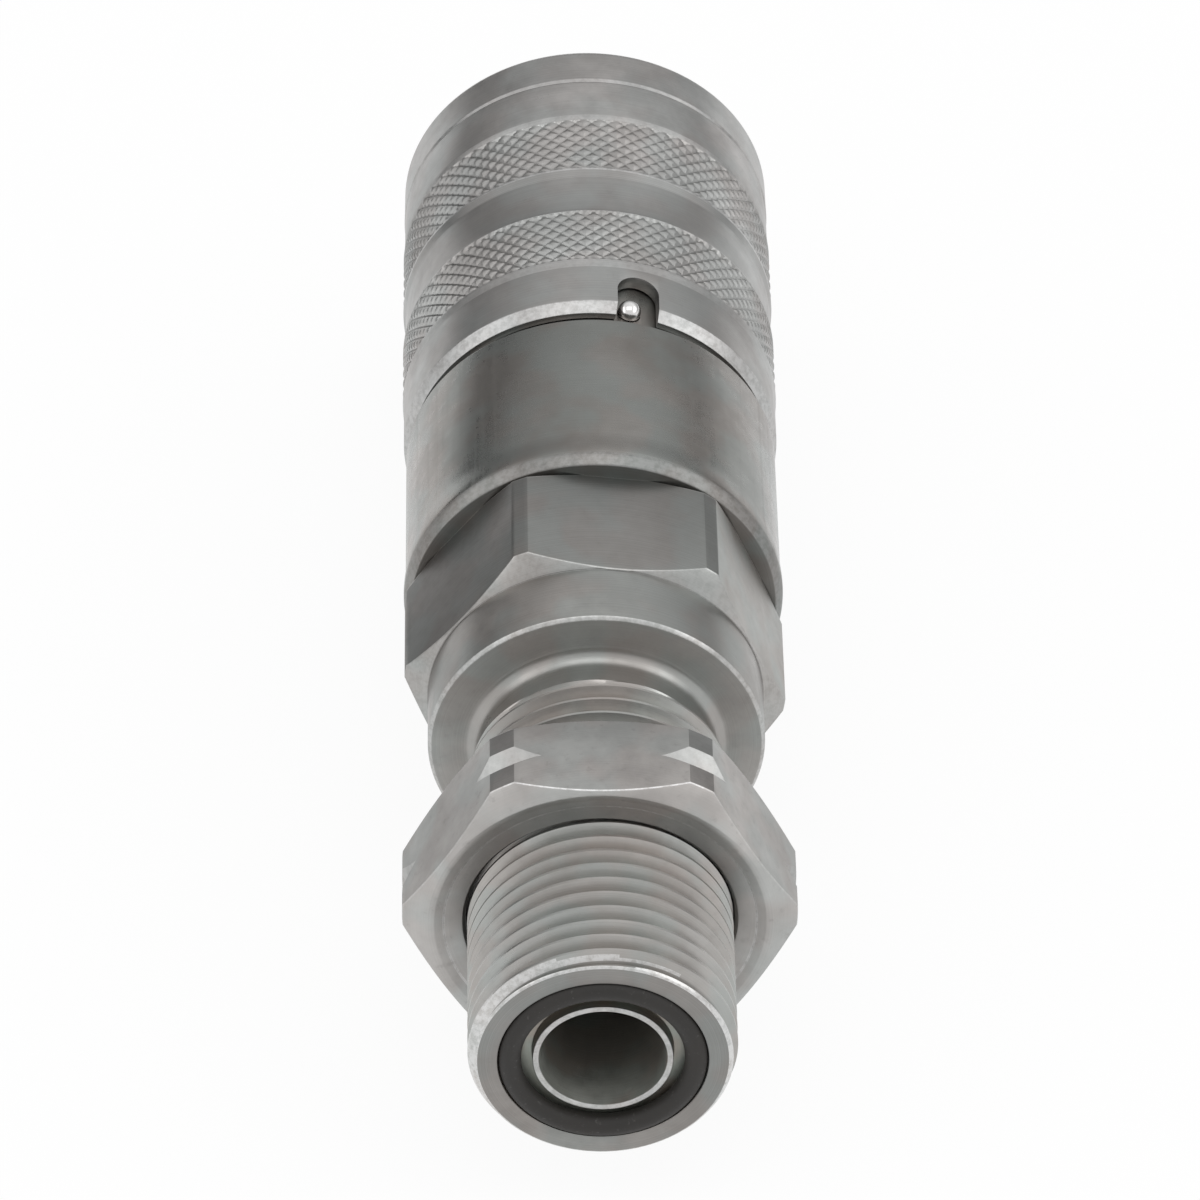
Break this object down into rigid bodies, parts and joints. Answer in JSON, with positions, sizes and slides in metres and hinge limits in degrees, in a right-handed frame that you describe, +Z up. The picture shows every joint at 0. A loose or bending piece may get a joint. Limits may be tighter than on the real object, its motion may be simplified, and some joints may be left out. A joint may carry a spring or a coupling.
{
  "type": "quick disconnect coupler",
  "caption": "Female half of a flat-face hydraulic quick coupler with a knurled push-to-connect locking sleeve and a face-seal bulkhead thread with a hex locknut.",
  "frame": {"origin": "centre of the face-seal end of the adapter, on the flow axis", "axes": "+Y along the flow axis from the face-seal end to the coupler's mouth; +Z up through the top of the sleeve, with the sleeve's notch a little to +X of the top"},
  "size_m": [0.031, 0.1077, 0.031],
  "materials": {
    "adapter_steel": "satin zinc plated",
    "nut_steel": "satin zinc plated",
    "body_steel": "satin zinc plated",
    "sleeve_steel": "satin zinc plated, knurled",
    "inner_steel": "fine turned",
    "spring_steel": "drawn wire",
    "ball_steel": "polished",
    "seal_rubber": "smooth matt",
    "backup_plastic": "smooth"
  },
  "bodies": {
    "coupler_body": {"orfs_adapter": "adapter_steel", "face_seal_oring": "seal_rubber", "adapter_oring": "seal_rubber", "socket_body": "body_steel", "sleeve_stop_ball": "ball_steel", "sleeve_retaining_ring": "spring_steel", "valve_sleeve_oring": "seal_rubber", "valve_backup_ring": "backup_plastic", "stem_spider": "inner_steel", "valve_stem": "inner_steel", "stem_head_seal": "seal_rubber", "stem_nut": "inner_steel", "sleeve_spring": "spring_steel", "retainer_spring": "spring_steel", "valve_spring": "spring_steel"},
    "locknut": {"bulkhead_locknut": "nut_steel"},
    "sleeve_seat": {"sleeve_seat_washer": "spring_steel"},
    "sleeve": {"locking_sleeve": "sleeve_steel"},
    "retainer": {"ball_retainer": "inner_steel"},
    "valve": {"valve_sleeve": "inner_steel"},
    "ball_1": {"locking_ball_1": "ball_steel"},
    "ball_2": {"locking_ball_2": "ball_steel"},
    "ball_3": {"locking_ball_3": "ball_steel"},
    "ball_4": {"locking_ball_4": "ball_steel"},
    "ball_5": {"locking_ball_5": "ball_steel"},
    "ball_6": {"locking_ball_6": "ball_steel"},
    "ball_7": {"locking_ball_7": "ball_steel"},
    "ball_8": {"locking_ball_8": "ball_steel"}
  },
  "joints": [
    {"name": "sleeve_slide", "type": "slide", "parent": "coupler_body", "child": "sleeve_seat", "axis": [0, 1, 0], "range_m": [0, 0.0035], "stiffness_N_per_m": 2500, "deforming": ["sleeve_spring"]},
    {"name": "sleeve_turn", "type": "hinge", "parent": "sleeve_seat", "child": "sleeve", "pos_m": [0, 0.09, 0], "axis": [0, 1, 0], "range_deg": [-4.5, 0.5]},
    {"name": "locknut_turn", "type": "hinge", "parent": "coupler_body", "child": "locknut", "pos_m": [0, 0.0194, 0], "axis": [0, 1, 0], "continuous": true},
    {"name": "retainer_push", "type": "slide", "parent": "coupler_body", "child": "retainer", "axis": [0, -1, 0], "range_m": [0, 0.0095], "deforming": ["retainer_spring"]},
    {"name": "valve_push", "type": "slide", "parent": "coupler_body", "child": "valve", "axis": [0, -1, 0], "range_m": [0, 0.0095], "deforming": ["valve_spring"]},
    {"name": "ball_1_drop", "type": "slide", "parent": "coupler_body", "child": "ball_1", "axis": [-0.3827, 0, -0.9239], "range_m": [0, 0.00095]},
    {"name": "ball_2_drop", "type": "slide", "parent": "coupler_body", "child": "ball_2", "axis": [-0.9239, 0, -0.3827], "range_m": [0, 0.00095]},
    {"name": "ball_3_drop", "type": "slide", "parent": "coupler_body", "child": "ball_3", "axis": [-0.9239, 0, 0.3827], "range_m": [0, 0.00095]},
    {"name": "ball_4_drop", "type": "slide", "parent": "coupler_body", "child": "ball_4", "axis": [-0.3827, 0, 0.9239], "range_m": [0, 0.00095]},
    {"name": "ball_5_drop", "type": "slide", "parent": "coupler_body", "child": "ball_5", "axis": [0.3827, 0, 0.9239], "range_m": [0, 0.00095]},
    {"name": "ball_6_drop", "type": "slide", "parent": "coupler_body", "child": "ball_6", "axis": [0.9239, 0, 0.3827], "range_m": [0, 0.00095]},
    {"name": "ball_7_drop", "type": "slide", "parent": "coupler_body", "child": "ball_7", "axis": [0.9239, 0, -0.3827], "range_m": [0, 0.00095]},
    {"name": "ball_8_drop", "type": "slide", "parent": "coupler_body", "child": "ball_8", "axis": [0.3827, 0, -0.9239], "range_m": [0, 0.00095]}
  ],
  "couplings": [
    {"joint": "retainer_push", "follows": "sleeve_slide", "ratio": 2.7143},
    {"joint": "valve_push", "follows": "sleeve_slide", "ratio": 2.7143},
    {"joint": "ball_1_drop", "follows": "sleeve_slide", "ratio": 0.27143},
    {"joint": "ball_2_drop", "follows": "sleeve_slide", "ratio": 0.27143},
    {"joint": "ball_3_drop", "follows": "sleeve_slide", "ratio": 0.27143},
    {"joint": "ball_4_drop", "follows": "sleeve_slide", "ratio": 0.27143},
    {"joint": "ball_5_drop", "follows": "sleeve_slide", "ratio": 0.27143},
    {"joint": "ball_6_drop", "follows": "sleeve_slide", "ratio": 0.27143},
    {"joint": "ball_7_drop", "follows": "sleeve_slide", "ratio": 0.27143},
    {"joint": "ball_8_drop", "follows": "sleeve_slide", "ratio": 0.27143}
  ]
}
